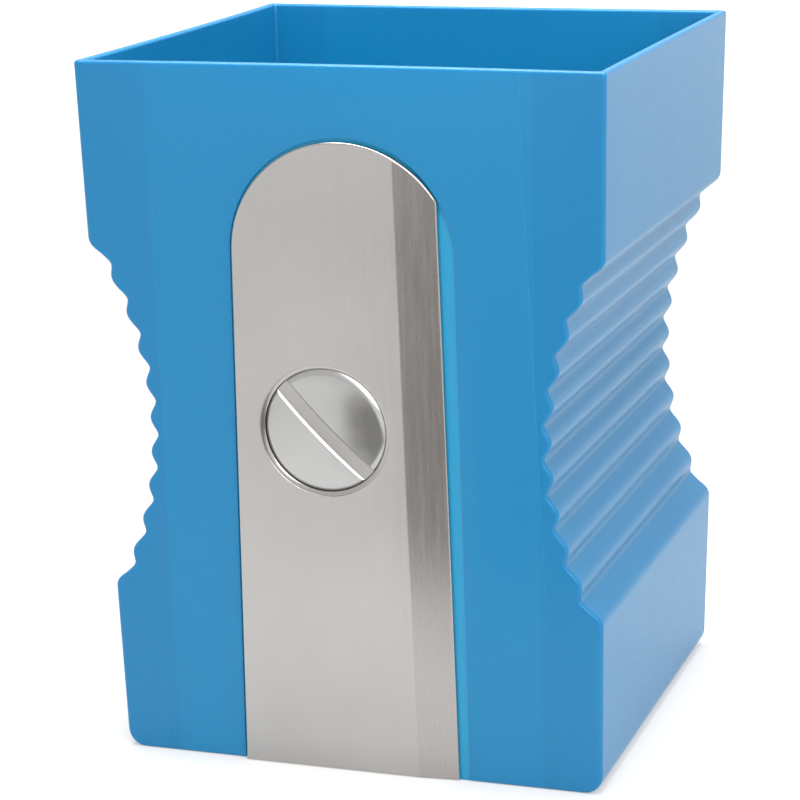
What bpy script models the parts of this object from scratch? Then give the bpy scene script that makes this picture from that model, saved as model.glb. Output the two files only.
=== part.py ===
"""Desk pencil pot in the shape of a hand pencil sharpener: moulded body, blade plate and blade screw.

The pot stands on Z = 0 with its centre on the Z axis, its front faces -Y, and the units are metres.
The front wall leans outward, so the blade and its screw are laid out on the empty front_face,
whose local X runs to the right, local Z up the wall and local Y into the pot.
"""
import math

import bmesh
import bpy
from mathutils import Matrix, Vector

# Pot body
HEIGHT = 0.1077
WIDTH_TOP = 0.0800
WIDTH_BOTTOM = 0.0762
DEPTH_TOP = 0.0800
DEPTH_BOTTOM = 0.0707
WALL = 0.0013
FLOOR = 0.0025
UPRIGHT_EDGE_RADIUS = 0.0006
FOOT_RADIUS = 0.0028
FOOT_ROUND_STEPS = 6
INNER_CORNER_RADIUS = 0.0020
CAVITY_DRAFT = 0.0005
CAVITY_STEPS = 13
RIM_BOW = 0.0012
RIM_BOW_START = 0.0880
RIM_BOW_ROWS = 5
RIM_BOW_COLUMNS = 8

# Ribbed waist in the two side walls
WAIST_HALF = 0.0275
WAIST_DEPTH = 0.00836
WAIST_RUNOUT = 0.0288
WAIST_BLEND = 0.0025
RIB_PITCH = 0.00525
RIB_HEIGHT = 0.00055
RIB_STEPS = 8

# Hollows under the two sides of the foot
FOOT_POCKET_TOP = 0.0300
FOOT_POCKET_WALL = 0.0016
FOOT_POCKET_CROWN = 0.0025
FOOT_POCKET_SHOULDER = 0.0010

# Blade plate, on the front wall
PLATE_THICKNESS = 0.0008
PLATE_PROUD = 0.00075
PLATE_LEFT_BOTTOM = -0.0180
PLATE_RIGHT_BOTTOM = 0.01615
PLATE_RIGHT_TOP = 0.01505
PLATE_CREASE_BOTTOM = 0.0099
PLATE_CREASE_TOP = 0.0088
PLATE_FOOT = 0.0001
BEVEL_DEPTH = 0.0005
ARCH_X = 0.0006
ARCH_Z = 0.0801
ARCH_RADIUS = 0.01695
ARCH_STEPS = 20

# Shallow recess of the plate: a full arch, so that a strip of its floor shows beside the blade's edge
RECESS_RIGHT_BOTTOM = 0.0182

# Seat of the blade plate, inside the pot
PAD_MARGIN = 0.0030
PAD_DEPTH = 0.0016
BOSS_HALF_WIDTH = 0.0125
BOSS_TOP = 0.0135
BOSS_CORNER = 0.0045
BOSS_DEPTH = 0.0037

# Blade screw, washer and nut
SCREW_X = -0.0030
SCREW_Z = 0.0539
DISH_RADIUS = 0.0100
DISH_LIP = 0.0002
DISH_WALL = 0.0004
DISH_DEPTH = 0.0027
HEAD_RADIUS = 0.0094
HEAD_HEIGHT = 0.0028
HEAD_DOME = 0.0008
HEAD_EDGE = 0.0012
HEAD_STEPS = 4
SLOT_WIDTH = 0.0027
SLOT_DEPTH = 0.0011
SLOT_ANGLE = math.radians(45.0)
SHANK_RADIUS = 0.0025
SHANK_END = 0.0118
WASHER_RADIUS = 0.0050
WASHER_THICKNESS = 0.0010
NUT_FLATS = 0.0080
NUT_THICKNESS = 0.0040
ROUND_STEPS = 48

# Gap between touching pieces, how far a cutter runs past the surface, and the merging distance
GAP = 0.0003
CLEAR = 0.0050
MERGE = 0.000001

MIDDLE_Z = HEIGHT / 2
LEAN = math.atan2((DEPTH_TOP - DEPTH_BOTTOM) / 2, HEIGHT)
PLATE_BACK = PLATE_THICKNESS - PLATE_PROUD
SEAT_DEPTH = PLATE_BACK + GAP
BOSS_FACE = WALL + BOSS_DEPTH
BORE_RADIUS = SHANK_RADIUS + GAP
NARROWEST = (WIDTH_BOTTOM + WIDTH_TOP) / 4 - WAIST_DEPTH - RIB_HEIGHT - WALL


# ---- the shape of the pot ----
def half_width(z):
    """Half of the width of the pot without its waist."""
    return (WIDTH_BOTTOM + (WIDTH_TOP - WIDTH_BOTTOM) * z / HEIGHT) / 2


def half_depth(z):
    """Half of the depth of the pot."""
    return (DEPTH_BOTTOM + (DEPTH_TOP - DEPTH_BOTTOM) * z / HEIGHT) / 2


def waist_inset(z, rib_height=RIB_HEIGHT):
    """How far a side wall is drawn in at height z: a shallow arch with rounded ribs on it."""
    s = abs(z - MIDDLE_Z)
    if s >= WAIST_HALF:
        return 0.0
    arch = WAIST_DEPTH * (1 - (s / WAIST_RUNOUT) ** 2)
    ribs = rib_height * math.cos(2 * math.pi * s / RIB_PITCH)
    t = min((WAIST_HALF - s) / WAIST_BLEND, 1.0)
    return max(arch - ribs, 0.0) * t * t * (3 - 2 * t)


def waist_heights(step):
    """Heights from the foot of the waist to its top, evenly spaced."""
    count = round(2 * WAIST_HALF / step)
    return [MIDDLE_Z - WAIST_HALF + 2 * WAIST_HALF * i / count for i in range(count + 1)]


def outer_side():
    """Right half of the outline, from the floor up, as (x, z)."""
    x0 = half_width(0.0) - FOOT_RADIUS
    points = []
    for i in range(FOOT_ROUND_STEPS + 1):
        a = math.pi / 2 * (i / FOOT_ROUND_STEPS - 1)
        points.append((x0 + FOOT_RADIUS * math.cos(a), FOOT_RADIUS + FOOT_RADIUS * math.sin(a)))
    points += [(half_width(z) - waist_inset(z), z) for z in waist_heights(RIB_PITCH / RIB_STEPS)]
    points.append((half_width(HEIGHT), HEIGHT))
    return points


def inner_side():
    """Right half of the cavity, from its floor up: it narrows at the waist and stays narrow below."""
    points = [(NARROWEST - CAVITY_DRAFT, FLOOR)]
    for i in range(CAVITY_STEPS + 1):
        z = MIDDLE_Z + (WAIST_HALF + WALL) * i / CAVITY_STEPS
        ribs = RIB_HEIGHT if z < MIDDLE_Z + WAIST_HALF - WAIST_BLEND else 0.0
        points.append((half_width(z) - waist_inset(z - WALL, 0.0) - ribs - WALL, z))
    points.append((half_width(HEIGHT + CLEAR) - WALL, HEIGHT + CLEAR))
    return points


def plate_left(z):
    """Left edge of the blade plate."""
    top = ARCH_X - ARCH_RADIUS
    return PLATE_LEFT_BOTTOM + (top - PLATE_LEFT_BOTTOM) * z / ARCH_Z


def plate_right(z):
    """Right edge of the blade plate."""
    return PLATE_RIGHT_BOTTOM + (PLATE_RIGHT_TOP - PLATE_RIGHT_BOTTOM) * z / (ARCH_Z + ARCH_RADIUS)


def plate_crease(z):
    """Crease where the blade plate starts to slope back."""
    return PLATE_CREASE_BOTTOM + (PLATE_CREASE_TOP - PLATE_CREASE_BOTTOM) * z / (ARCH_Z + ARCH_RADIUS)


def recess_outline(foot):
    """Outline of the plate's recess, anticlockwise from its lower left corner, with a half round top."""
    radius = ARCH_RADIUS + GAP
    points = [(plate_left(foot) - GAP, foot), (RECESS_RIGHT_BOTTOM, foot)]
    for i in range(ARCH_STEPS + 1):
        a = math.pi * i / ARCH_STEPS
        points.append((ARCH_X + radius * math.cos(a), ARCH_Z + radius * math.sin(a)))
    return points


def plate_outline(margin, foot):
    """Outline of the blade plate grown by margin, anticlockwise from its lower left corner."""
    radius = ARCH_RADIUS + margin
    right_top = plate_right(ARCH_Z + ARCH_RADIUS / 2) + margin
    start = math.acos(min((right_top - ARCH_X) / radius, 1.0))
    points = [(plate_left(foot) - margin, foot), (plate_right(foot) + margin, foot)]
    for i in range(ARCH_STEPS + 1):
        a = start + (math.pi - start) * i / ARCH_STEPS
        points.append((ARCH_X + radius * math.cos(a), ARCH_Z + radius * math.sin(a)))
    return points


# ---- modelling helpers ----
def collection(name):
    made = bpy.data.collections.new(name)
    bpy.context.scene.collection.children.link(made)
    return made


def material(name, colour, roughness, metallic):
    made = bpy.data.materials.new(name)
    made.use_nodes = True
    shader = made.node_tree.nodes["Principled BSDF"]
    shader.inputs["Base Color"].default_value = (*colour, 1.0)
    shader.inputs["Roughness"].default_value = roughness
    shader.inputs["Metallic"].default_value = metallic
    return made


def add_object(name, mesh, home, finish=None, parent=None):
    made = bpy.data.objects.new(name, mesh)
    home.objects.link(made)
    if finish:
        mesh.materials.append(finish)
    if parent:
        made.parent = parent
    return made


def as_cutter(obj):
    obj.hide_render = True
    obj.display_type = "WIRE"
    return obj


def prism(name, outline, y0, y1):
    """Solid from a flat outline in X and Z, between two Y planes."""
    bm = bmesh.new()
    face = bm.faces.new([bm.verts.new((x, y0, z)) for x, z in outline])
    bm.normal_update()
    grown = bmesh.ops.extrude_face_region(bm, geom=[face])
    moved = [v for v in grown["geom"] if isinstance(v, bmesh.types.BMVert)]
    bmesh.ops.translate(bm, verts=moved, vec=(0.0, y1 - y0, 0.0))
    bmesh.ops.recalc_face_normals(bm, faces=bm.faces)
    mesh = bpy.data.meshes.new(name)
    bm.to_mesh(mesh)
    bm.free()
    return mesh


def turned(name, profile, home, front_face, finish=None):
    """Shape turned about the blade screw's axis, from a profile of (radius, depth into the pot).

    The object's local Z points out of the pot, so a profile runs from the front to the back.
    """
    mesh = bpy.data.meshes.new(name)
    mesh.from_pydata([(r, 0.0, -depth) for r, depth in profile],
                     [(i, i + 1) for i in range(len(profile) - 1)], [])
    made = add_object(name, mesh, home, finish, front_face)
    made.location = (SCREW_X, 0.0, SCREW_Z)
    made.rotation_euler = (math.pi / 2, 0.0, 0.0)
    step = made.modifiers.new("turned", "SCREW")
    step.steps = ROUND_STEPS
    step.render_steps = ROUND_STEPS
    step.use_merge_vertices = True
    step.merge_threshold = MERGE
    return made


def mirrored(half):
    """Closed outline from its right half."""
    return half + [(-x, z) for x, z in reversed(half)]


def cut_through(bm, faces, point, normal):
    """Divides the given faces along a plane."""
    edges = {e for f in faces for e in f.edges}
    verts = {v for f in faces for v in f.verts}
    bmesh.ops.bisect_plane(bm, geom=[*verts, *edges, *faces], dist=MERGE, plane_co=point, plane_no=normal)


def taper_depth(mesh, inset):
    """Turns a prism of depth 2 into the pot's depth at each height, less inset at front and back."""
    for v in mesh.vertices:
        v.co.y *= half_depth(v.co.z) - inset


def boolean(obj, tool, operation="DIFFERENCE"):
    step = obj.modifiers.new(tool.name, "BOOLEAN")
    step.operation = operation
    step.object = tool
    step.solver = "EXACT"


def rounded(obj, width, segments, angle):
    step = obj.modifiers.new("rounded_edges", "BEVEL")
    step.width = width
    step.segments = segments
    step.limit_method = "ANGLE"
    step.angle_limit = math.radians(angle)


def settle(obj):
    """Replaces an object's mesh by what its modifiers make of it."""
    bpy.context.view_layer.update()
    made = bpy.data.meshes.new_from_object(obj.evaluated_get(bpy.context.evaluated_depsgraph_get()))
    obj.modifiers.clear()
    obj.data = made


def smooth(obj):
    obj.data.shade_smooth()
    obj.data.set_sharp_from_angle(angle=math.radians(30))


# ---- pot body ----
def cavity(cutters, front_face):
    """Cutter for the inside of the pot, with the raised seat of the blade plate left standing in it."""
    mesh = prism("cut_cavity", mirrored(inner_side()), -1.0, 1.0)
    taper_depth(mesh, WALL)
    cutter = as_cutter(add_object("cut_cavity", mesh, cutters))
    rounded(cutter, INNER_CORNER_RADIUS, 3, 60)
    pad = prism("blade_pad", plate_outline(PAD_MARGIN, -CLEAR), -CLEAR, WALL + PAD_DEPTH)
    boolean(cutter, as_cutter(add_object("blade_pad", pad, cutters, None, front_face)))
    top = SCREW_Z + BOSS_TOP
    left, right = SCREW_X - BOSS_HALF_WIDTH, SCREW_X + BOSS_HALF_WIDTH
    outline = [(left, -CLEAR), (right, -CLEAR), (right, SCREW_Z), (right - BOSS_CORNER, top),
               (left + BOSS_CORNER, top), (left, SCREW_Z)]
    boss = prism("screw_boss", outline, -CLEAR, BOSS_FACE)
    boolean(cutter, as_cutter(add_object("screw_boss", boss, cutters, None, front_face)))
    return cutter


def foot_pocket(side, cutters):
    """Cutter for the hollow between the cavity and the outer wall of one side of the foot."""
    inner = NARROWEST + FOOT_POCKET_WALL
    outer = half_width(0.0) - FOOT_POCKET_WALL
    outline = [(inner, -CLEAR), (outer, -CLEAR), (outer, MIDDLE_Z - WAIST_HALF - FOOT_POCKET_SHOULDER),
               (inner + FOOT_POCKET_CROWN, FOOT_POCKET_TOP), (inner, FOOT_POCKET_TOP)]
    mesh = prism("cut_foot_pocket", [(side * x, z) for x, z in outline], -1.0, 1.0)
    taper_depth(mesh, 2 * WALL)
    return as_cutter(add_object("cut_foot_pocket_" + ("left" if side < 0 else "right"), mesh, cutters))


def bow_rim(obj):
    """Lets the front and back walls sink in a little between the corners of the rim."""
    bm = bmesh.new()
    bm.from_mesh(obj.data)
    rise = HEIGHT - RIM_BOW_START
    for i in range(RIM_BOW_ROWS):
        cut_through(bm, bm.faces[:], (0.0, 0.0, RIM_BOW_START + rise * i / RIM_BOW_ROWS), (0.0, 0.0, 1.0))
    for i in range(1, RIM_BOW_COLUMNS):
        rim = [f for f in bm.faces if min(v.co.z for v in f.verts) > RIM_BOW_START - MERGE]
        cut_through(bm, rim, (WIDTH_TOP * (i / RIM_BOW_COLUMNS - 0.5), 0.0, 0.0), (1.0, 0.0, 0.0))
    for v in bm.verts:
        t = max((v.co.z - RIM_BOW_START) / rise, 0.0)
        middle = 1 - min(abs(v.co.x) / (WIDTH_TOP / 2), 1.0) ** 2
        if abs(v.co.y) > half_depth(v.co.z) - 2 * WALL:
            v.co.y -= math.copysign(RIM_BOW * middle * t ** 3, v.co.y)
    bm.to_mesh(obj.data)
    bm.free()


def make_body(parts, cutters, front_face, finish):
    mesh = prism("pot_body", mirrored(outer_side()), -1.0, 1.0)
    taper_depth(mesh, 0.0)
    body = add_object("pot_body", mesh, parts, finish)
    rounded(body, UPRIGHT_EDGE_RADIUS, 2, 60)
    boolean(body, cavity(cutters, front_face))
    boolean(body, foot_pocket(-1, cutters))
    boolean(body, foot_pocket(1, cutters))
    recess = prism("cut_plate_recess", recess_outline(-CLEAR), -CLEAR, SEAT_DEPTH)
    boolean(body, as_cutter(add_object("cut_plate_recess", recess, cutters, None, front_face)))
    wide = DISH_RADIUS + DISH_WALL + GAP
    step = SEAT_DEPTH + DISH_DEPTH
    hole = [(0.0, -CLEAR), (wide, -CLEAR), (wide, step), (BORE_RADIUS, step), (BORE_RADIUS, 2 * BOSS_FACE),
            (0.0, 2 * BOSS_FACE)]
    boolean(body, as_cutter(turned("cut_screw_hole", hole, cutters, front_face)))
    settle(body)
    bow_rim(body)
    smooth(body)


# ---- blade and its fixings ----
def grind_bevel(mesh):
    """Slopes the front of the plate back from its crease to its right edge, like the edge of a blade."""
    bm = bmesh.new()
    bm.from_mesh(mesh)
    along = Vector((PLATE_CREASE_TOP - PLATE_CREASE_BOTTOM, 0.0, ARCH_Z + ARCH_RADIUS))
    cut_through(bm, bm.faces[:], (PLATE_CREASE_BOTTOM, 0.0, 0.0), (along.z, 0.0, -along.x))
    for v in bm.verts:
        z = v.co.z
        share = (v.co.x - plate_crease(z)) / (plate_right(z) - plate_crease(z))
        if share > 0 and v.co.y < 0:
            v.co.y += BEVEL_DEPTH * share
    bm.to_mesh(mesh)
    bm.free()


def make_plate(parts, cutters, front_face, finish):
    """Arched sheet with a bevel ground along its right edge and a round dish for the screw head."""
    mesh = prism("blade_plate", plate_outline(0.0, PLATE_FOOT), -PLATE_PROUD, PLATE_BACK)
    grind_bevel(mesh)
    plate = add_object("blade_plate", mesh, parts, finish, front_face)
    hole = [(0.0, -CLEAR), (DISH_RADIUS, -CLEAR), (DISH_RADIUS, CLEAR), (0.0, CLEAR)]
    boolean(plate, as_cutter(turned("cut_dish", hole, cutters, front_face)))
    inner = DISH_RADIUS - DISH_LIP
    outer = DISH_RADIUS + DISH_WALL
    lip = PLATE_THICKNESS / 2 - PLATE_PROUD
    front = DISH_DEPTH - PLATE_PROUD
    back = DISH_DEPTH + PLATE_BACK
    cup = [(inner, lip), (outer, lip), (outer, back), (BORE_RADIUS, back), (BORE_RADIUS, front),
           (inner, front), (inner, lip)]
    boolean(plate, as_cutter(turned("dish", cup, cutters, front_face)), "UNION")
    settle(plate)
    smooth(plate)


def make_screw(parts, cutters, front_face, finish):
    """Slotted screw with a low domed head, its shank running back into the pot."""
    base = DISH_DEPTH - PLATE_PROUD - GAP
    shoulder = base - HEAD_HEIGHT + HEAD_DOME
    flat = HEAD_RADIUS - HEAD_EDGE
    profile = [(0.0, shoulder - HEAD_DOME)]
    for i in range(1, HEAD_STEPS + 1):
        share = i / HEAD_STEPS
        profile.append((flat * share, shoulder - HEAD_DOME * (1 - share ** 2)))
    for i in range(1, HEAD_STEPS + 1):
        a = math.pi / 2 * i / HEAD_STEPS
        profile.append((flat + HEAD_EDGE * math.sin(a), shoulder + HEAD_EDGE * (1 - math.cos(a))))
    profile += [(HEAD_RADIUS, base), (SHANK_RADIUS, base), (SHANK_RADIUS, SHANK_END), (0.0, SHANK_END)]
    screw = turned("blade_screw", profile, parts, front_face, finish)
    bm = bmesh.new()
    bmesh.ops.create_cube(bm, size=1.0)
    depth = HEAD_DOME + SLOT_DEPTH + CLEAR
    bmesh.ops.scale(bm, verts=bm.verts, vec=(4 * HEAD_RADIUS, depth, SLOT_WIDTH))
    bmesh.ops.rotate(bm, verts=bm.verts, matrix=Matrix.Rotation(SLOT_ANGLE, 3, "Y"))
    centre_y = shoulder - HEAD_DOME + SLOT_DEPTH - depth / 2
    bmesh.ops.translate(bm, verts=bm.verts, vec=(SCREW_X, centre_y, SCREW_Z))
    slot = bpy.data.meshes.new("cut_slot")
    bm.to_mesh(slot)
    bm.free()
    boolean(screw, as_cutter(add_object("cut_slot", slot, cutters, None, front_face)))
    settle(screw)
    smooth(screw)


def make_washer(parts, front_face, finish):
    front = BOSS_FACE + GAP
    back = front + WASHER_THICKNESS
    profile = [(BORE_RADIUS, front), (WASHER_RADIUS, front), (WASHER_RADIUS, back), (BORE_RADIUS, back),
               (BORE_RADIUS, front)]
    washer = turned("screw_washer", profile, parts, front_face, finish)
    settle(washer)
    smooth(washer)


def make_nut(parts, cutters, front_face, finish):
    front = BOSS_FACE + 2 * GAP + WASHER_THICKNESS
    corner = NUT_FLATS / math.sqrt(3)
    angles = [math.radians(60 * i) for i in range(6)]
    outline = [(SCREW_X + corner * math.cos(a), SCREW_Z + corner * math.sin(a)) for a in angles]
    mesh = prism("screw_nut", outline, front, front + NUT_THICKNESS)
    nut = add_object("screw_nut", mesh, parts, finish, front_face)
    hole = [(0.0, 0.0), (BORE_RADIUS, 0.0), (BORE_RADIUS, 4 * BOSS_FACE), (0.0, 4 * BOSS_FACE)]
    boolean(nut, as_cutter(turned("cut_nut_bore", hole, cutters, front_face)))
    smooth(nut)


def main():
    for obj in list(bpy.data.objects):
        bpy.data.objects.remove(obj, do_unlink=True)
    parts = collection("sharpener_pencil_pot")
    cutters = collection("cutters")
    front_face = bpy.data.objects.new("front_face", None)
    parts.objects.link(front_face)
    front_face.location = (0.0, -DEPTH_BOTTOM / 2, 0.0)
    front_face.rotation_euler = (LEAN, 0.0, 0.0)
    blue = material("blue_plastic", (0.032, 0.283, 0.578), 0.32, 0.0)
    steel = material("brushed_blade_steel", (0.62, 0.60, 0.57), 0.32, 1.0)
    head = material("satin_screw_steel", (0.66, 0.65, 0.63), 0.22, 1.0)
    zinc = material("zinc_plated_steel", (0.60, 0.60, 0.58), 0.40, 1.0)
    make_body(parts, cutters, front_face, blue)
    make_plate(parts, cutters, front_face, steel)
    make_screw(parts, cutters, front_face, head)
    make_washer(parts, front_face, zinc)
    make_nut(parts, cutters, front_face, zinc)


main()
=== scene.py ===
"""Looks of the desk pencil pot: moulded body, brushed blade plate, slotted screw, washer and nut.

Lengths are in metres in the CAD frame: the pot stands on Z = 0 and its front faces -Y.
The front wall leans outward. Points on it are given in its own frame, FRONT: X to the right,
Z up the wall and Y into the pot.
"""
import math

import bmesh
import bpy
from mathutils import Matrix, Vector


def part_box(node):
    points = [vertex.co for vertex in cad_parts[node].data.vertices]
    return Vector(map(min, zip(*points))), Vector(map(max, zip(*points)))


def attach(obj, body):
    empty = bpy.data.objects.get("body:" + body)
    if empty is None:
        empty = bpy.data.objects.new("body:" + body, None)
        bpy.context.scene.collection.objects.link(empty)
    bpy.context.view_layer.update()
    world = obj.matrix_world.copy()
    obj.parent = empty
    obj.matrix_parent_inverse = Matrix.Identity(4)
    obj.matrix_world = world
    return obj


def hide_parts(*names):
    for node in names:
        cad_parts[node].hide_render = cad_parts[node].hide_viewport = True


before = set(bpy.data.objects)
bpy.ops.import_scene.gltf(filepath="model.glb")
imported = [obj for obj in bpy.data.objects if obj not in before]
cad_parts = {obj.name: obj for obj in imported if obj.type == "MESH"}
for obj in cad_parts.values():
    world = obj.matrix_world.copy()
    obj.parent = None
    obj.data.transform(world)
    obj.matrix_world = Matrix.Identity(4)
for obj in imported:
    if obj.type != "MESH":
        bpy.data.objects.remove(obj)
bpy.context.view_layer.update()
BODY_LOW, BODY_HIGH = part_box("pot_body")
MM = 0.001

# Pot body
HEIGHT = BODY_HIGH.z
WIDTH_TOP = BODY_HIGH.x - BODY_LOW.x
WIDTH_BOTTOM = WIDTH_TOP - 3.8 * MM
DEPTH_TOP = BODY_HIGH.y - BODY_LOW.y
DEPTH_BOTTOM = DEPTH_TOP - 9.25 * MM
MIDDLE_Z = HEIGHT / 2
WALL = 1.3 * MM
FLOOR = 2.5 * MM
UPRIGHT_EDGE = 0.65 * MM
FOOT_RADIUS = 2.8 * MM
FOOT_FRONT_EDGE = 0.5 * MM
FOOT_STEPS = 8
RIM_EDGE = 0.45 * MM
RIM_EDGE_STEPS = 5
INNER_CORNER = 0.6 * MM
INNER_FOOT = 2.0 * MM
CAVITY_DRAFT = 0.5 * MM
PARTING_X = 29.2 * MM
PARTING_SLOPE = 0.035
PARTING_WIDTH = 0.2 * MM
PARTING_RISE = 0.08 * MM

# Points round one level of the body, and the spacing of the levels
CORNER_STEPS = 6
FACE_STEPS = 7
BAND_STEPS = 3
SIDE_STEPS = 10
LOWER_STEP = 4 * MM
RIB_STEPS = 22
UPPER_STEP = 3 * MM
RIM_STEP = 1.5 * MM
CAVITY_STEP = 1 * MM
LOWER_CAVITY_STEP = 6 * MM

# How far the walls bow inward at the rim: front, back, left, right
RIM_BOWS = {"front": 1.35 * MM, "back": 0.5 * MM, "left": 0.6 * MM, "right": 0.1 * MM}
RIM_BOW_START = 86 * MM

# Ribbed waist in the two side walls
WAIST_HALF = 27.5 * MM
WAIST_DEPTH = 8.36 * MM
WAIST_RUNOUT = 28.8 * MM
WAIST_BLEND = 2.5 * MM
RIB_PITCH = 5.25 * MM
RIB_HEIGHT = 0.55 * MM
RIB_SHARPNESS = 0.55
RIB_VALLEY = 0.22

# Hollows under the two sides of the foot
FOOT_POCKET_TOP = 30 * MM
FOOT_POCKET_WALL = 1.6 * MM
FOOT_POCKET_CROWN = 2.5 * MM
FOOT_POCKET_EDGE = 0.8 * MM

# Blade plate
PLATE_THICKNESS = 0.8 * MM
PLATE_PROUD = 0.75 * MM
PLATE_EDGE = 0.3 * MM
PLATE_EDGE_STEPS = 6
PLATE_LEFT_BOTTOM = -18.0 * MM
PLATE_RIGHT_BOTTOM = 16.15 * MM
PLATE_RIGHT_TOP = 15.05 * MM
PLATE_CREASE_BOTTOM = 9.9 * MM
PLATE_CREASE_TOP = 8.8 * MM
PLATE_CREASE_HALF = 0.15 * MM
PLATE_FOOT = 0.1 * MM
BEVEL_DEPTH = 0.5 * MM
ARCH_X = 0.6 * MM
ARCH_Z = 80.1 * MM
ARCH_RADIUS = 16.95 * MM
ARCH_STEPS = 72

# Recess, seat and boss of the body around the plate
GAP = 0.3 * MM
MOUTH_EDGE = 0.15 * MM
MOUTH_SLOPE = 1.3 * MM
MOUTH_STEPS = 8
RECESS_RIGHT_BOTTOM = 18.2 * MM
PAD_MARGIN = 3.0 * MM
PAD_DEPTH = 1.6 * MM
PAD_EDGE = 0.5 * MM
BOSS_HALF_WIDTH = 12.5 * MM
BOSS_TOP = 13.5 * MM
BOSS_CORNER = 4.5 * MM
BOSS_DEPTH = 3.7 * MM
BOSS_EDGE = 0.6 * MM

# Plastic: the two colours it varies between on the outside, and a lighter pair in the recess, which is
# painted light on the recess floor;
# its tone at the sides, which is painted shade; its gloss, and how light spreads under its surface
BLUE_DARK = (0.0030, 0.170, 0.355, 1)
BLUE_LIGHT = (0.0042, 0.184, 0.375, 1)
LIT_RECESS_DARK = (0.0110, 0.243, 0.437, 1)
LIT_RECESS_LIGHT = (0.0130, 0.260, 0.460, 1)
SHADED_BAND_TONE = (1, 0.93, 0.955, 1)
PLASTIC_ROUGHNESS = (0.30, 0.34)
PLASTIC_IOR = 1.42
SPREAD_WEIGHT = 0.6
SPREAD_TINT = (0.15, 0.7, 1.0)
SPREAD_DEPTH = 1.6 * MM

# Steels: colour, roughness from and to, fineness of the grain along each axis and its strength
STEELS = {
    "brushed_blade_steel": ((0.422, 0.409, 0.396), 0.18, 0.24, (1500, 1500, 60), 0.05),
    "ground_bevel_steel": ((0.40, 0.376, 0.360), 0.24, 0.30, (1500, 1500, 60), 0.03),
    "satin_screw_steel": ((0.45, 0.445, 0.435), 0.18, 0.26, (300, 300, 300), 0.1),
    "cut_slot_steel": ((0.42, 0.41, 0.40), 0.30, 0.40, (2500, 2500, 2500), 0.3),
    "zinc_plated_steel": ((0.60, 0.60, 0.59), 0.30, 0.42, (200, 200, 200), 0.2),
}
STEEL_TONES = (0.97, 1.03)

# Screw, washer and nut
SCREW_X = -3.0 * MM
SCREW_Z = 53.9 * MM
DISH_RADIUS = 10.0 * MM
DISH_LIP = 0.05 * MM
DISH_SLOPE = 0.3 * MM
DISH_WALL = 0.4 * MM
DISH_DEPTH = 2.7 * MM
HEAD_RADIUS = 9.4 * MM
HEAD_GAP = 0.06 * MM
HEAD_HEIGHT = 2.9 * MM
HEAD_DOME = 0.7 * MM
HEAD_EDGE = 2.0 * MM
HEAD_EDGE_START = math.atan(2 * HEAD_DOME / HEAD_RADIUS)
HEAD_EDGE_END = math.radians(42)
HEAD_STEPS = 14
HEAD_EDGE_STEPS = 12
SLOT_WIDTH = 2.7 * MM
SLOT_DEPTH = 1.1 * MM
SLOT_CHAMFER = 0.3 * MM
SLOT_ANGLE = math.radians(45)
SLOT_LENGTH = 2.4 * HEAD_RADIUS
SLOT_STEPS = 32
SHANK_RADIUS = 2.5 * MM
SHANK_END = 11.8 * MM
SHANK_CHAMFER = 0.5 * MM
THREAD_PITCH = 0.8 * MM
THREAD_DEPTH = 0.35 * MM
WASHER_RADIUS = 5.0 * MM
WASHER_THICKNESS = 1.0 * MM
WASHER_EDGE = 0.12 * MM
NUT_FLATS = 8.0 * MM
NUT_THICKNESS = 4.0 * MM
NUT_FACE = 0.95
NUT_SLOPE = 0.55
ROUND_STEPS = 128

# Studio: the table's own glow by distance from the pot's middle, dimmed right beside the pot as a painted
# contact shadow and again about 0.13 m out as painted shade in what the blade plate reflects; the card, the
# lights and the camera
TABLE_HALF = 4.0
TABLE_COLOUR = (0.45, 0.45, 0.45, 1)
TABLE_GLOW_AND_SHADOW = ((0.036, 0.34), (0.046, 0.52), (0.09, 0.47), (0.13, 0.38), (0.30, 0.43), (1.0, 1.0))
CARD_CORNERS = ((-0.020, -0.135), (-0.003, -0.108), (0.10, -0.108), (0.10, -0.7), (-0.13, -0.7))
CARD_Z = 0.5 * MM
CARD_COLOUR = (0.13, 0.124, 0.118, 1)
SKY_STRENGTH = 0.9
SOFTBOXES = {
    "key_softbox": {"place": (0.40, -0.60, 0.50), "target": (0, 0, 0.05), "size": 0.7, "power": 5.0},
    "overhead_softbox": {"place": (0, 0, 0.32), "target": (0, 0, 0), "size": 0.22, "power": 1.3},
}
CAMERA_PLACE = (0.13272, -0.40354, 0.15637)
CAMERA_AZIMUTH = math.radians(18.74)
CAMERA_ELEVATION = math.radians(14.13)
CAMERA_ROLL = math.radians(-1.14)
CAMERA_LENS = 123.5

CLEAR = 5 * MM
MERGE = 0.001 * MM
SHARP_ANGLE = 35
SHARP_ANGLE_NUT = 20
MIX_FACTOR, MIX_A, MIX_B, MIX_RESULT = 0, 6, 7, 2
LEAN = math.atan2((DEPTH_TOP - DEPTH_BOTTOM) / 2, HEIGHT)
FRONT = Matrix.Translation((0, -DEPTH_BOTTOM / 2, 0)) @ Matrix.Rotation(LEAN, 4, "X")
SCREW_PLACE = FRONT @ Matrix.Translation((SCREW_X, 0, SCREW_Z))
SCREW_AXIS = SCREW_PLACE @ Matrix.Rotation(math.pi / 2, 4, "X")
PLATE_BACK = PLATE_THICKNESS - PLATE_PROUD
SEAT_DEPTH = PLATE_BACK + GAP
BOSS_FACE = WALL + BOSS_DEPTH
BORE_RADIUS = SHANK_RADIUS + GAP
NARROWEST = (WIDTH_BOTTOM + WIDTH_TOP) / 4 - WAIST_DEPTH - RIB_HEIGHT - WALL


# ---- the shape of the pot ----
def mix(a, b, t):
    return a + (b - a) * t


def smoothstep(t):
    t = min(max(t, 0.0), 1.0)
    return t * t * (3 - 2 * t)


def half_width(z):
    return mix(WIDTH_BOTTOM, WIDTH_TOP, z / HEIGHT) / 2


def half_depth(z):
    return mix(DEPTH_BOTTOM, DEPTH_TOP, z / HEIGHT) / 2


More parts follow.
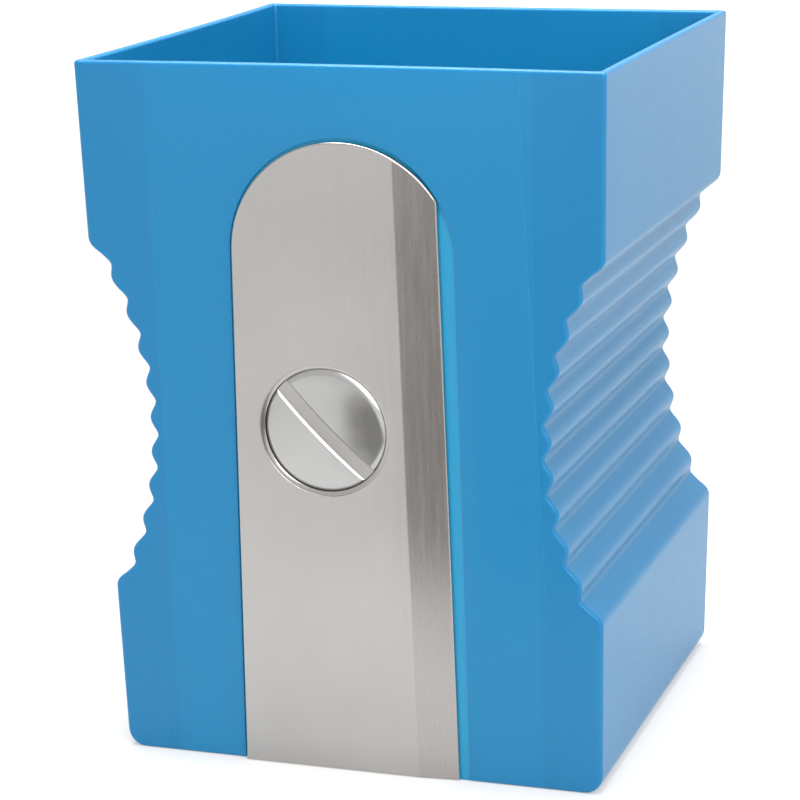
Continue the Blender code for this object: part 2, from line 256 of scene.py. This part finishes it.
def rib(s):
    """Rib profile from -1 in a valley to 1 on a crest; the valleys are tighter than the crests."""
    wave = math.cos(math.pi * s / RIB_PITCH)
    low = RIB_VALLEY
    tight = 2 * (math.sqrt(wave * wave + low * low) - low) / (math.sqrt(1 + low * low) - low) - 1
    return mix(math.cos(2 * math.pi * s / RIB_PITCH), tight, RIB_SHARPNESS)


def waist_inset(z, rib_height=RIB_HEIGHT):
    """How far a side wall is drawn in at height z."""
    s = abs(z - MIDDLE_Z)
    if s >= WAIST_HALF:
        return 0.0
    arch = WAIST_DEPTH * (1 - (s / WAIST_RUNOUT) ** 2)
    return max(arch - rib_height * rib(s), 0.0) * smoothstep((WAIST_HALF - s) / WAIST_BLEND)


def inner_half_width(z):
    """The cavity narrows at the waist and stays narrow below it."""
    if z < MIDDLE_Z:
        return NARROWEST - CAVITY_DRAFT * (MIDDLE_Z - z) / MIDDLE_Z
    ribs = RIB_HEIGHT * smoothstep((MIDDLE_Z + WAIST_HALF - z) / WAIST_BLEND)
    return half_width(z) - waist_inset(z - WALL, 0.0) - ribs - WALL


def spaced(start, end, step):
    """Even levels about a step apart, after start and up to end."""
    count = max(round(abs(end - start) / step), 1)
    return [mix(start, end, i / count) for i in range(1, count + 1)]


def quarter_turn(count, first=0):
    """Angles from 0 to a right angle, without those before the first."""
    return [math.pi / 2 * i / count for i in range(first, count + 1)]


def ring(z, width, depth, corner, parting=0.0):
    """One level of the body: an anticlockwise rounded rectangle, with a ridge at its parting lines."""
    inner = width - corner
    line = min(PARTING_X + PARTING_SLOPE * (MIDDLE_Z - z), inner - 1.2 * PARTING_WIDTH)
    half = [(line - PARTING_WIDTH) * i / FACE_STEPS for i in range(1, FACE_STEPS + 1)]
    half += [line, line + PARTING_WIDTH]
    half += [mix(line + PARTING_WIDTH, inner, i / BAND_STEPS) for i in range(1, BAND_STEPS)]
    row = [-x for x in reversed(half)] + [0.0] + half
    rise = {line: parting, -line: parting}
    points = []
    for start, sign_x, sign_y in ((0, 1, 1), (90, -1, 1), (180, -1, -1), (270, 1, -1)):
        for turn in quarter_turn(CORNER_STEPS):
            a = math.radians(start) + turn
            x = sign_x * inner + corner * math.cos(a)
            y = sign_y * (depth - corner) + corner * math.sin(a)
            points.append((x, y))
        if start in (0, 180):
            points += [(x, sign_y * (depth + rise.get(x, 0.0))) for x in row[::-sign_y]]
        else:
            edge = sign_y * (depth - corner)
            points += [(sign_x * width, edge * (1 - 2 * i / SIDE_STEPS)) for i in range(1, SIDE_STEPS)]
    return [bowed(x, y, z) for x, y in points]


def bowed(x, y, z):
    """Lets each wall sink in a little between the corners of the rim."""
    t = max((z - RIM_BOW_START) / (HEIGHT - RIM_BOW_START), 0.0) ** 3
    across_x = 1 - min(abs(x) / half_width(z), 1.0) ** 2
    across_y = 1 - min(abs(y) / half_depth(z), 1.0) ** 2
    on_front = smoothstep((abs(y) / half_depth(z) - 0.9) * 20)
    on_side = smoothstep((abs(x) / half_width(z) - 0.9) * 20)
    bow_y = RIM_BOWS["front"] if y < 0 else -RIM_BOWS["back"]
    bow_x = RIM_BOWS["left"] if x < 0 else -RIM_BOWS["right"]
    return Vector((x + bow_x * across_y * on_side * t, y + bow_y * across_x * on_front * t, z))


def body_rings():
    """Levels of the body from under the foot, up the outside, over the rim and down inside."""
    rings = []
    for a in quarter_turn(FOOT_STEPS):
        z = FOOT_RADIUS * (1 - math.cos(a))
        low = max(1 - z / FOOT_FRONT_EDGE, 0.0)
        width = half_width(z) - FOOT_RADIUS * (1 - math.sin(a))
        depth = half_depth(z) - FOOT_FRONT_EDGE * (1 - math.sqrt(1 - low * low))
        rings.append(ring(z, width, depth, UPRIGHT_EDGE, PARTING_RISE * (low == 0)))
    waist_low, waist_high = MIDDLE_Z - WAIST_HALF, MIDDLE_Z + WAIST_HALF
    heights = spaced(FOOT_RADIUS, waist_low, LOWER_STEP)
    heights += spaced(waist_low, waist_high, RIB_PITCH / RIB_STEPS)
    heights += spaced(waist_high, RIM_BOW_START, UPPER_STEP)
    heights += spaced(RIM_BOW_START, HEIGHT - RIM_EDGE, RIM_STEP)
    for z in heights:
        rings.append(ring(z, half_width(z) - waist_inset(z), half_depth(z), UPRIGHT_EDGE, PARTING_RISE))
    for a in quarter_turn(RIM_EDGE_STEPS, 1):
        z = HEIGHT - RIM_EDGE * (1 - math.sin(a))
        drawn = RIM_EDGE * (1 - math.cos(a))
        rings.append(ring(z, half_width(z) - drawn, half_depth(z) - drawn, UPRIGHT_EDGE))
    for a in quarter_turn(RIM_EDGE_STEPS):
        z = HEIGHT - RIM_EDGE * (1 - math.cos(a))
        drawn = WALL - RIM_EDGE * (1 - math.sin(a))
        rings.append(ring(z, half_width(z) - drawn, half_depth(z) - drawn, INNER_CORNER))
    heights = spaced(HEIGHT - RIM_EDGE, RIM_BOW_START, RIM_STEP)
    heights += spaced(RIM_BOW_START, MIDDLE_Z, CAVITY_STEP)
    heights += spaced(MIDDLE_Z, FLOOR + INNER_FOOT, LOWER_CAVITY_STEP)
    for z in heights:
        rings.append(ring(z, inner_half_width(z), half_depth(z) - WALL, INNER_CORNER))
    for a in quarter_turn(RIM_EDGE_STEPS, 1):
        z = FLOOR + INNER_FOOT * (1 - math.sin(a))
        drawn = INNER_FOOT * (1 - math.cos(a))
        rings.append(ring(z, inner_half_width(z) - drawn, half_depth(z) - WALL - drawn, INNER_CORNER))
    return rings


# ---- outlines on the front wall ----
def plate_left(z):
    return mix(PLATE_LEFT_BOTTOM, ARCH_X - ARCH_RADIUS, z / ARCH_Z)


def plate_right(z):
    return mix(PLATE_RIGHT_BOTTOM, PLATE_RIGHT_TOP, z / (ARCH_Z + ARCH_RADIUS))


def plate_crease(z):
    return mix(PLATE_CREASE_BOTTOM, PLATE_CREASE_TOP, z / (ARCH_Z + ARCH_RADIUS))


def recess_section(y, edge, slope):
    """Outline of the recess at depth y, grown by edge at its left and top and by slope at its right."""
    points = [(plate_left(-CLEAR) - GAP - edge, -CLEAR), (RECESS_RIGHT_BOTTOM + slope, -CLEAR)]
    for i in range(ARCH_STEPS + 1):
        a = math.pi * i / ARCH_STEPS
        radius = ARCH_RADIUS + GAP + mix(edge, slope, smoothstep(2 * math.cos(a) - 1))
        points.append((ARCH_X + radius * math.cos(a), ARCH_Z + radius * math.sin(a)))
    return [(x, y, z) for x, z in points]


def plate_outline(margin, foot):
    """Outline of the blade plate grown by margin, anticlockwise from its lower left corner."""
    radius = ARCH_RADIUS + margin
    right_top = plate_right(ARCH_Z + ARCH_RADIUS / 2) + margin
    start = math.acos(min((right_top - ARCH_X) / radius, 1.0))
    points = [(plate_left(foot) - margin, foot), (plate_right(foot) + margin, foot)]
    for i in range(ARCH_STEPS + 1):
        a = mix(start, math.pi, i / ARCH_STEPS)
        points.append((ARCH_X + radius * math.cos(a), ARCH_Z + radius * math.sin(a)))
    return points


# ---- modelling helpers ----
def to_mesh(name, bm):
    bmesh.ops.recalc_face_normals(bm, faces=bm.faces)
    mesh = bpy.data.meshes.new(name)
    bm.to_mesh(mesh)
    bm.free()
    return mesh


def add_object(name, mesh, place=None):
    made = bpy.data.objects.new(name, mesh)
    bpy.context.scene.collection.objects.link(made)
    if place:
        made.matrix_world = place
    return made


def loft(name, sections):
    """Closed solid through sections with the same number of corners."""
    bm = bmesh.new()
    rings = [[bm.verts.new(point) for point in section] for section in sections]
    for low, high in zip(rings, rings[1:]):
        for i in range(len(low)):
            j = (i + 1) % len(low)
            bm.faces.new((low[i], low[j], high[j], high[i]))
    bm.faces.new(list(reversed(rings[0])))
    bm.faces.new(rings[-1])
    return to_mesh(name, bm)


def plate_stack(levels, foot):
    """Sections of the blade plate's outline, from (depth, margin) levels."""
    return [[(x, y, z) for x, z in plate_outline(margin, foot - margin)] for y, margin in levels]


def prism(name, outline, y0, y1):
    return loft(name, [[(x, y0, z) for x, z in outline], [(x, y1, z) for x, z in outline]])


def turned(name, profile, ring=False):
    """Piece turned about the screw's axis, from a profile of (radius, depth into the pot).

    A ring has a closed profile, which doesn't reach the axis.
    """
    mesh = bpy.data.meshes.new(name)
    edges = [(i, i + 1) for i in range(len(profile) - 1)] + [(len(profile) - 1, 0)] * ring
    mesh.from_pydata([(r, 0, -depth) for r, depth in profile], edges, [])
    made = add_object(name, mesh, SCREW_AXIS)
    step = made.modifiers.new("turned", "SCREW")
    step.steps = step.render_steps = ROUND_STEPS
    step.use_merge_vertices = True
    step.merge_threshold = MERGE
    return made


def settle(obj):
    """Replaces an object's mesh by what its modifiers make of it, in the CAD frame."""
    bpy.context.view_layer.update()
    made = bpy.data.meshes.new_from_object(obj.evaluated_get(bpy.context.evaluated_depsgraph_get()))
    made.transform(obj.matrix_world)
    obj.modifiers.clear()
    obj.matrix_world = Matrix.Identity(4)
    obj.data = made
    return obj


def combine(obj, tool, operation="DIFFERENCE", solver="EXACT"):
    """Cuts or joins obj with a tool object, which is used up."""
    step = obj.modifiers.new("combine", "BOOLEAN")
    step.operation = operation
    step.object = tool
    step.solver = solver
    settle(obj)
    bpy.data.objects.remove(tool, do_unlink=True)
    return obj


def rounded(obj, width, segments, angle):
    step = obj.modifiers.new("rounded_edges", "BEVEL")
    step.width = width
    step.segments = segments
    step.limit_method = "ANGLE"
    step.angle_limit = math.radians(angle)
    return obj


def shaded(obj, angle=SHARP_ANGLE):
    """Smooth shading with sharp creases, weighted so that flat faces stay flat."""
    obj.data.shade_smooth()
    obj.data.set_sharp_from_angle(angle=math.radians(angle))
    step = obj.modifiers.new("even_normals", "WEIGHTED_NORMAL")
    step.keep_sharp = True
    step.weight = 100
    return obj


def finished(obj, node, material=None):
    """Puts a piece in place of its CAD node."""
    if material:
        obj.data.materials.clear()
        obj.data.materials.append(material)
    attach(obj, "root")
    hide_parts(node)


def grind_bevel(mesh):
    """Slopes the front of the plate back from its slightly soft crease to its right edge."""
    bm = bmesh.new()
    bm.from_mesh(mesh)
    along = Vector((PLATE_CREASE_TOP - PLATE_CREASE_BOTTOM, 0, ARCH_Z + ARCH_RADIUS))
    for i in range(-2, 3):
        point = (PLATE_CREASE_BOTTOM + PLATE_CREASE_HALF * i / 2, 0, 0)
        bmesh.ops.bisect_plane(bm, geom=bm.verts[:] + bm.edges[:] + bm.faces[:], dist=MERGE,
                               plane_co=point, plane_no=(along.z, 0, -along.x))
    for v in bm.verts:
        beyond = v.co.x - plate_crease(v.co.z)
        if v.co.y < 0 and beyond > -PLATE_CREASE_HALF:
            slope = BEVEL_DEPTH / (plate_right(v.co.z) - plate_crease(v.co.z))
            bend = (beyond + PLATE_CREASE_HALF) ** 2 / (4 * PLATE_CREASE_HALF)
            v.co.y += slope * (bend if beyond < PLATE_CREASE_HALF else beyond)
    for f in bm.faces:
        middle = f.calc_center_median()
        f.material_index = int(middle.x > plate_crease(middle.z))
    bm.to_mesh(mesh)
    bm.free()


# ---- materials ----
class Shader:
    """A node material with a few short ways to add nodes."""

    def __init__(self, name):
        self.material = bpy.data.materials.new(name)
        self.material.use_nodes = True
        self.tree = self.material.node_tree
        self.surface = self.tree.nodes["Principled BSDF"]

    def node(self, kind, **values):
        made = self.tree.nodes.new(kind)
        for key, value in values.items():
            if key in made.inputs:
                made.inputs[key].default_value = value
            else:
                setattr(made, key, value)
        return made

    def link(self, source, output, target, socket):
        self.tree.links.new(source.outputs[output], target.inputs[socket])

    def place(self, scale):
        """Object coordinates stretched by scale."""
        coordinates = self.node("ShaderNodeTexCoord")
        mapping = self.node("ShaderNodeMapping", Scale=scale)
        self.link(coordinates, "Object", mapping, "Vector")
        return mapping

    def noise(self, place, scale, detail, roughness=0.5):
        made = self.node("ShaderNodeTexNoise", Scale=scale, Detail=detail, Roughness=roughness)
        self.link(place, "Vector", made, "Vector")
        return made

    def ramp(self, source, output, low, high, colour_low, colour_high):
        made = self.node("ShaderNodeValToRGB")
        made.color_ramp.elements[0].position = low
        made.color_ramp.elements[1].position = high
        made.color_ramp.elements[0].color = colour_low
        made.color_ramp.elements[1].color = colour_high
        self.link(source, output, made, "Fac")
        return made

    def span(self, source, output, low, high, to_low, to_high):
        made = self.node("ShaderNodeMapRange")
        for key, value in zip(("From Min", "From Max", "To Min", "To Max"), (low, high, to_low, to_high)):
            made.inputs[key].default_value = value
        self.link(source, output, made, "Value")
        return made

    def bump(self, source, output, strength, distance):
        made = self.node("ShaderNodeBump", Strength=strength, Distance=distance)
        self.link(source, output, made, "Height")
        self.link(made, "Normal", self.surface, "Normal")

    def split(self):
        """Object coordinates, without their signs, one by one."""
        aside = self.node("ShaderNodeVectorMath", operation="ABSOLUTE")
        self.link(self.node("ShaderNodeTexCoord"), "Object", aside, "Vector")
        made = self.node("ShaderNodeSeparateXYZ")
        self.link(aside, "Vector", made, "Vector")
        return made

    def settings(self, **values):
        """Sets sockets of the surface, named with _ for a space."""
        for key, value in values.items():
            self.surface.inputs[key.replace("_", " ")].default_value = value


def blue_plastic(name, dark, light):
    """Slightly translucent moulded plastic, with flow marks in its colour and fine scuffs in its gloss.

    It is a little darker outside the parting lines, which is painted shade.
    """
    s = Shader(name)
    flow = s.noise(s.place((14, 14, 5)), 1.0, 3)
    colour = s.ramp(flow, "Fac", 0.3, 0.7, dark, light)
    # Painted shade: outside the parting lines the colour is multiplied darker
    shaded_band = s.span(s.split(), "X", PARTING_X - PARTING_WIDTH, PARTING_X + PARTING_WIDTH, 0.0, 1.0)
    shade = s.node("ShaderNodeMix", data_type="RGBA", blend_type="MULTIPLY")
    shade.inputs[MIX_B].default_value = SHADED_BAND_TONE
    s.link(shaded_band, "Result", shade, MIX_FACTOR)
    s.link(colour, "Color", shade, MIX_A)
    s.link(shade, MIX_RESULT, s.surface, "Base Color")
    scuffs = s.noise(s.place((1400, 1400, 1400)), 1.0, 3, 0.6)
    s.link(s.span(scuffs, "Fac", 0.3, 0.7, *PLASTIC_ROUGHNESS), "Result", s.surface, "Roughness")
    sink = s.noise(s.place((45, 45, 30)), 1.0, 2)
    s.bump(sink, "Fac", 0.25, 0.25 * MM)
    s.settings(IOR=PLASTIC_IOR, Subsurface_Weight=SPREAD_WEIGHT, Subsurface_Radius=SPREAD_TINT,
               Subsurface_Scale=SPREAD_DEPTH)
    return s.material


def brushed_steel(name):
    """Steel with a fine grain in its gloss and relief, and soft smudges of a little tone variation in its
    colour.
    """
    colour, smooth, rough, fineness, grain = STEELS[name]
    dark, light = ((*(c * tone for c in colour), 1) for tone in STEEL_TONES)
    s = Shader(name)
    smudge = s.noise(s.place((60, 60, 60)), 1.0, 3)
    s.link(s.ramp(smudge, "Fac", 0.35, 0.7, dark, light), "Color", s.surface, "Base Color")
    lines = s.noise(s.place(fineness), 1.0, 4, 0.6)
    s.link(s.span(lines, "Fac", 0.3, 0.7, smooth, rough), "Result", s.surface, "Roughness")
    s.bump(lines, "Fac", grain, 0.02 * MM)
    s.settings(Metallic=1.0)
    return s.material


# ---- pieces ----
def recess_tool():
    """Shallow arched recess, wider than the blade plate on its right, where its side slopes softly."""
    levels = [(-CLEAR, MOUTH_EDGE, MOUTH_EDGE), (0.0, MOUTH_EDGE, MOUTH_EDGE)]
    for i in range(1, MOUTH_STEPS + 1):
        t = i / MOUTH_STEPS
        levels.append((SEAT_DEPTH * smoothstep(t), MOUTH_EDGE * (1 - t), MOUTH_EDGE - MOUTH_SLOPE * t))
    mesh = loft("recess", [recess_section(*level) for level in levels])
    # Faces deep in the recess get the lighter plastic: painted light on the recess floor beside the plate
    for f in mesh.polygons:
        f.material_index = int(f.center.y > SEAT_DEPTH / 2)
    return add_object("recess", mesh, FRONT)


def pocket_tool(side):
    """Hollow under one side of the foot."""
    inner = NARROWEST + FOOT_POCKET_WALL
    outer = half_width(0.0) - FOOT_POCKET_WALL
    outline = [(inner, -CLEAR), (outer, -CLEAR), (outer, MIDDLE_Z - WAIST_HALF - 1 * MM),
               (inner + FOOT_POCKET_CROWN, FOOT_POCKET_TOP), (inner, FOOT_POCKET_TOP)]
    tool = add_object("pocket", prism("pocket", [(side * x, z) for x, z in outline], -1.0, 1.0))
    for v in tool.data.vertices:
        v.co.y *= half_depth(v.co.z) - 2 * WALL
    return rounded(tool, FOOT_POCKET_EDGE, 3, 40)


def boss_solid():
    """Thicker block behind the seat, which the screw runs through."""
    left, right, top = SCREW_X - BOSS_HALF_WIDTH, SCREW_X + BOSS_HALF_WIDTH, SCREW_Z + BOSS_TOP
    outline = [(left, FLOOR / 2), (right, FLOOR / 2), (right, SCREW_Z), (right - BOSS_CORNER, top),
               (left + BOSS_CORNER, top), (left, SCREW_Z)]
    boss = add_object("boss", prism("boss", outline, WALL / 2, BOSS_FACE), FRONT)
    return rounded(boss, BOSS_EDGE, 3, 30)


def pad_solid():
    """Thicker wall behind the whole blade plate."""
    outline = plate_outline(PAD_MARGIN, FLOOR / 2)
    pad = add_object("pad", prism("pad", outline, WALL / 2, WALL + PAD_DEPTH), FRONT)
    return rounded(pad, PAD_EDGE, 3, 60)


def make_shell():
    shell = add_object("pot_shell", loft("pot_shell", body_rings()))
    shell.data.materials.append(blue_plastic("blue_plastic", BLUE_DARK, BLUE_LIGHT))
    # Second material: a lighter copy of the plastic for the recess floor, which is painted light
    shell.data.materials.append(blue_plastic("painted_light_recess_plastic", LIT_RECESS_DARK, LIT_RECESS_LIGHT))
    combine(shell, pad_solid(), "UNION")
    combine(shell, boss_solid(), "UNION")
    combine(shell, recess_tool())
    wide = DISH_RADIUS + DISH_WALL + GAP
    step = SEAT_DEPTH + DISH_DEPTH
    hole = [(0, -CLEAR), (wide, -CLEAR), (wide, step), (BORE_RADIUS, step), (BORE_RADIUS, 2 * BOSS_FACE),
            (0, 2 * BOSS_FACE)]
    combine(shell, turned("hole", hole))
    combine(shell, pocket_tool(-1))
    combine(shell, pocket_tool(1))
    finished(shaded(shell), "pot_body")


def make_plate(sheet_steel, ground_steel):
    """Arched sheet with rolled-over edges, a bevel at its right and a pressed dish for the screw."""
    front = -PLATE_PROUD
    levels = [(PLATE_BACK, 0.0)]
    for a in quarter_turn(PLATE_EDGE_STEPS):
        levels.append((front + PLATE_EDGE * (1 - math.sin(a)), -PLATE_EDGE * (1 - math.cos(a))))
    mesh = loft("blade_sheet", plate_stack(levels, PLATE_FOOT))
    mesh.materials.append(sheet_steel)
    mesh.materials.append(ground_steel)
    grind_bevel(mesh)
    plate = add_object("blade_sheet", mesh, FRONT)
    edge = PLATE_EDGE / 2
    hole = [(0, -CLEAR), (DISH_RADIUS + edge, -CLEAR)]
    for a in quarter_turn(4):
        hole.append((DISH_RADIUS + edge * (1 - math.sin(a)), front + edge * (1 - math.cos(a))))
    hole += [(DISH_RADIUS, CLEAR), (0, CLEAR)]
    combine(plate, turned("dish_hole", hole), solver="MANIFOLD")
    inner, outer = HEAD_RADIUS + HEAD_GAP, DISH_RADIUS + DISH_WALL
    lip = front + PLATE_THICKNESS / 4
    floor, back = DISH_DEPTH - PLATE_PROUD, DISH_DEPTH + PLATE_BACK
    cup = [(inner, lip + DISH_SLOPE), (DISH_RADIUS - DISH_LIP, lip), (outer, lip), (outer, back),
           (BORE_RADIUS, back), (BORE_RADIUS, floor), (inner, floor)]
    combine(plate, turned("dish", cup, True), "UNION", "MANIFOLD")
    finished(shaded(plate), "blade_plate")


def slot_tool(front, flat):
    """Straight slot of the screw, with chamfered edges that follow the domed head."""
    half = SLOT_WIDTH / 2 - SLOT_CHAMFER
    floor = front + SLOT_DEPTH
    sections = []
    for i in range(SLOT_STEPS + 1):
        x = SLOT_LENGTH * (i / SLOT_STEPS - 0.5)
        surface = front + HEAD_DOME * (x / flat) ** 2
        mouth = min(surface + SLOT_CHAMFER, floor - MERGE)
        wide = half + mouth + CLEAR
        sections.append([(x, floor, -half), (x, floor, half), (x, mouth, half), (x, -CLEAR, wide),
                         (x, -CLEAR, -wide), (x, mouth, -half)])
    mesh = loft("slot", sections)
    for f in mesh.polygons:
        f.material_index = int(max(abs(c) for c in f.normal) > 0.95)
    return add_object("slot", mesh, SCREW_PLACE @ Matrix.Rotation(SLOT_ANGLE, 4, "Y"))


def make_screw(head_steel, slot_steel):
    """Slotted screw with a domed head with a rounded rim, and a threaded shank."""
    base = DISH_DEPTH - PLATE_PROUD - GAP
    shoulder = base - HEAD_HEIGHT + HEAD_DOME
    flat = HEAD_RADIUS - HEAD_EDGE * (math.sin(HEAD_EDGE_END) - math.sin(HEAD_EDGE_START))
    profile = [(0.0, shoulder - HEAD_DOME)]
    for i in range(1, HEAD_STEPS + 1):
        t = i / HEAD_STEPS
        profile.append((flat * t, shoulder - HEAD_DOME * (1 - t * t)))
    for i in range(1, HEAD_EDGE_STEPS + 1):
        a = mix(HEAD_EDGE_START, HEAD_EDGE_END, i / HEAD_EDGE_STEPS)
        profile.append((flat + HEAD_EDGE * (math.sin(a) - math.sin(HEAD_EDGE_START)),
                        shoulder + HEAD_EDGE * (math.cos(HEAD_EDGE_START) - math.cos(a))))
    profile += [(HEAD_RADIUS, base), (SHANK_RADIUS, base)]
    depth = base + THREAD_PITCH
    while depth + THREAD_PITCH < SHANK_END:
        profile += [(SHANK_RADIUS, depth), (SHANK_RADIUS - THREAD_DEPTH, depth + THREAD_PITCH * 0.45),
                    (SHANK_RADIUS, depth + THREAD_PITCH * 0.9)]
        depth += THREAD_PITCH
    profile += [(SHANK_RADIUS - SHANK_CHAMFER, SHANK_END), (0.0, SHANK_END)]
    screw = turned("slotted_screw", profile)
    screw.data.materials.append(head_steel)
    screw.data.materials.append(slot_steel)
    combine(screw, slot_tool(shoulder - HEAD_DOME, flat))
    finished(shaded(screw), "blade_screw")


def make_washer(material):
    front = BOSS_FACE + GAP
    back = front + WASHER_THICKNESS
    edge = WASHER_EDGE
    profile = [(BORE_RADIUS, front), (WASHER_RADIUS - edge, front), (WASHER_RADIUS, front + edge),
               (WASHER_RADIUS, back - edge), (WASHER_RADIUS - edge, back), (BORE_RADIUS, back)]
    washer = settle(turned("plain_washer", profile, True))
    finished(shaded(washer, SHARP_ANGLE_NUT), "screw_washer", material)


def make_nut(material):
    """Hexagon nut with its corners turned off at both ends."""
    front = BOSS_FACE + 2 * GAP + WASHER_THICKNESS
    back = front + NUT_THICKNESS
    corner = NUT_FLATS / math.sqrt(3)
    angles = [math.radians(60 * i) for i in range(6)]
    outline = [(SCREW_X + corner * math.cos(a), SCREW_Z + corner * math.sin(a)) for a in angles]
    nut = add_object("hexagon_nut", prism("hexagon_nut", outline, front, back), FRONT)
    face = NUT_FLATS / 2 * NUT_FACE
    slope = (corner - face) * NUT_SLOPE
    wide = corner + 0.1 * MM
    blank = [(0, front), (face, front), (wide, front + slope), (wide, back - slope), (face, back), (0, back)]
    combine(nut, turned("blank", blank), "INTERSECT")
    hole = [(0, 0), (BORE_RADIUS, 0), (BORE_RADIUS, 4 * BOSS_FACE), (0, 4 * BOSS_FACE)]
    combine(nut, turned("nut_hole", hole))
    finished(shaded(nut, SHARP_ANGLE_NUT), "screw_nut", material)


# ---- studio ----
def make_table():
    """Pale shooting table that glows a little from below, so that shadows on it stay soft and light. Its
    glow is dimmer right beside the pot, which paints a contact shadow there, and dips again about 0.13 m
    out, which paints shade into what the blade plate reflects.
    """
    bm = bmesh.new()
    bmesh.ops.create_grid(bm, x_segments=1, y_segments=1, size=TABLE_HALF)
    table = add_object("floor", to_mesh("floor", bm))
    s = Shader("pale_floor")
    s.settings(Base_Color=TABLE_COLOUR, Roughness=0.9, Specular_IOR_Level=0.1, Emission_Color=(1, 1, 1, 1))
    place = s.split()
    distance = s.node("ShaderNodeMath", operation="MAXIMUM")
    s.link(place, "X", distance, 0)
    s.link(place, "Y", distance, 1)
    # Glow by distance: low right beside the pot as a painted contact shadow, and a painted dip about 0.13 m
    # out
    glow_and_shadow = s.node("ShaderNodeValToRGB")
    stops = glow_and_shadow.color_ramp.elements
    stops.remove(stops[-1])
    for i, (far, strength) in enumerate(TABLE_GLOW_AND_SHADOW):
        stop = stops.new(far) if i else stops[0]
        stop.position = far
        stop.color = (strength, strength, strength, 1)
    s.link(distance, "Value", glow_and_shadow, "Fac")
    s.link(glow_and_shadow, "Color", s.surface, "Emission Strength")
    table.data.materials.append(s.material)


def make_card():
    """Dark card lying in front of the pot, which only reflections see."""
    bm = bmesh.new()
    bm.faces.new([bm.verts.new((x, y, CARD_Z)) for x, y in CARD_CORNERS])
    card = add_object("flag", to_mesh("flag", bm))
    s = Shader("dark_card")
    s.settings(Base_Color=CARD_COLOUR, Roughness=0.9)
    card.data.materials.append(s.material)
    card.visible_camera = card.visible_diffuse = card.visible_shadow = False


def make_camera():
    """Camera from the right and above, with a long lens."""
    camera = bpy.data.cameras.new("camera")
    camera.lens = CAMERA_LENS
    camera.sensor_width = 36.0
    camera.clip_start = 0.01
    made = add_object("camera", camera)
    ahead = Vector((-math.sin(CAMERA_AZIMUTH), math.cos(CAMERA_AZIMUTH), 0))
    forward = ahead * math.cos(CAMERA_ELEVATION) - Vector((0, 0, math.sin(CAMERA_ELEVATION)))
    level = Vector((ahead.y, -ahead.x, 0))
    above = level.cross(forward)
    right = level * math.cos(CAMERA_ROLL) + above * math.sin(CAMERA_ROLL)
    up = above * math.cos(CAMERA_ROLL) - level * math.sin(CAMERA_ROLL)
    turn = Matrix((right, up, -forward)).transposed().to_4x4()
    made.matrix_world = Matrix.Translation(CAMERA_PLACE) @ turn
    bpy.context.scene.camera = made


def make_light():
    """White surroundings and the softboxes."""
    world = bpy.data.worlds.new("studio")
    world.use_nodes = True
    sky = world.node_tree.nodes["Background"]
    sky.inputs["Color"].default_value = (1, 1, 1, 1)
    sky.inputs["Strength"].default_value = SKY_STRENGTH
    bpy.context.scene.world = world
    for name, box in SOFTBOXES.items():
        light = bpy.data.lights.new(name, "AREA")
        light.size = box["size"]
        light.energy = box["power"]
        made = add_object(name, light)
        made.location = box["place"]
        aim = Vector(box["target"]) - Vector(box["place"])
        made.rotation_euler = aim.to_track_quat("-Z", "Y").to_euler()
        made.visible_camera = False
    bpy.context.scene.view_settings.view_transform = "Standard"


make_camera()
make_light()
make_table()
make_card()
make_shell()
make_plate(brushed_steel("brushed_blade_steel"), brushed_steel("ground_bevel_steel"))
make_screw(brushed_steel("satin_screw_steel"), brushed_steel("cut_slot_steel"))
zinc = brushed_steel("zinc_plated_steel")
make_washer(zinc)
make_nut(zinc)
